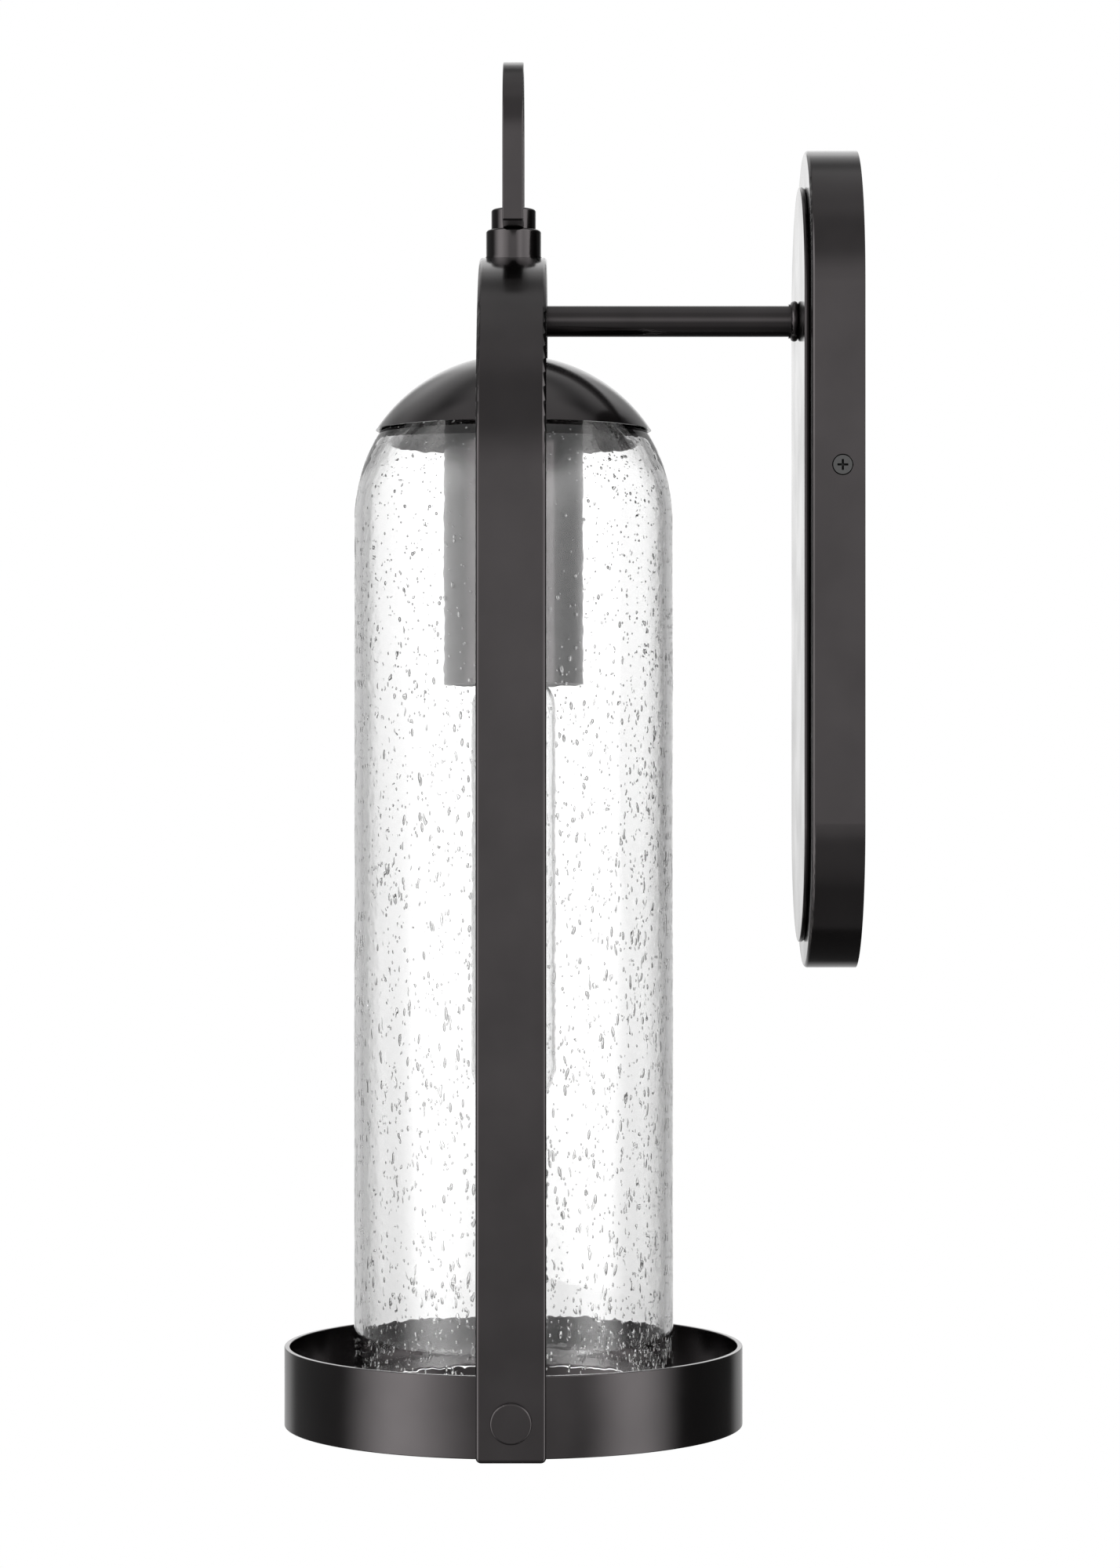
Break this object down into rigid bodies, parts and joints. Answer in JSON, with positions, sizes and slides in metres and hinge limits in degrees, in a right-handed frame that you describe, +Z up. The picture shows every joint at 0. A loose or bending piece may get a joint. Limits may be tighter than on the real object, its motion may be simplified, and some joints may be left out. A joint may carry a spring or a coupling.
{
  "type": "outdoor wall sconce",
  "caption": "Outdoor wall lantern: stadium canopy and round arm carry a flat strap frame with a seeded glass bell, dome cap, top loop and open foot ring; the lamp unscrews.",
  "frame": {"origin": "centre of the bracket's two junction-box holes, on the wall plane", "axes": "+Z up, +Y into the wall, the lantern stands out towards -Y, X across the wall"},
  "size_m": [0.1844, 0.2188, 0.5171],
  "materials": {
    "bronze_coat": "satin dark bronze powder coat on steel",
    "black_screw": "black oxide steel",
    "zinc_steel": "zinc plated",
    "green_screw": "green dyed zinc",
    "copper_wire": "bare copper",
    "seeded_glass": "clear seeded glass",
    "silicone": "silicone gasket",
    "porcelain": "glazed porcelain",
    "brass_part": "plain brass",
    "lamp_glass": "clear lamp glass",
    "lamp_base": "drawn shell",
    "lamp_insulator": "black vitrite",
    "lamp_wire": "nickel wire",
    "black_insulation": "extruded sleeve",
    "white_insulation": "extruded sleeve"
  },
  "bodies": {
    "fixture": {"wall_canopy": "bronze_coat", "face_plate": "bronze_coat", "face_plate_nuts": "zinc_steel", "mounting_bracket": "zinc_steel", "canopy_side_screws": "black_screw", "ground_screw": "green_screw", "ground_tag": "zinc_steel", "ground_lead": "copper_wire", "arm_tube": "bronze_coat", "arm_bead": "bronze_coat", "arm_pipe": "zinc_steel", "arm_lock_washer": "zinc_steel", "arm_lock_nut": "zinc_steel", "centre_hub": "bronze_coat", "strap_frame": "bronze_coat", "bottom_ring": "bronze_coat", "ring_bolts": "bronze_coat", "ring_bolt_washers": "bronze_coat", "ring_bolt_nuts": "bronze_coat", "knob_base": "bronze_coat", "knob_top": "bronze_coat", "top_stud": "zinc_steel", "loop_handle": "bronze_coat", "dome_cap": "bronze_coat", "cap_gasket": "silicone", "glass_shade": "seeded_glass", "glass_gasket": "silicone", "clamp_washer": "zinc_steel", "clamp_nut": "zinc_steel", "centre_pipe": "zinc_steel", "socket_cup": "bronze_coat", "cup_nut": "zinc_steel", "lampholder_cap": "zinc_steel", "lampholder_set_screw": "zinc_steel", "lampholder_body": "porcelain", "screw_shell": "brass_part", "centre_contact": "brass_part", "lead_black": "black_insulation", "lead_white": "white_insulation"},
    "lamp_tip": {"bulb_tip_contact": "lamp_wire"},
    "lamp": {"bulb_glass": "lamp_glass", "bulb_base": "lamp_base", "bulb_insulator": "lamp_insulator", "bulb_stem": "lamp_glass", "bulb_support_wires": "lamp_wire", "bulb_filament": "lamp_wire"}
  },
  "joints": [
    {"name": "lamp_travel", "type": "slide", "parent": "fixture", "child": "lamp_tip", "axis": [0, 0, 1], "range_m": [-0.0146, 0]},
    {"name": "lamp_turn", "type": "hinge", "parent": "lamp_tip", "child": "lamp", "pos_m": [0, -0.1295, -0.1], "axis": [0, 0, 1], "range_deg": [-1440, 0]}
  ],
  "couplings": [
    {"joint": "lamp_travel", "follows": "lamp_turn", "m_per_rad": 0.00057757}
  ]
}
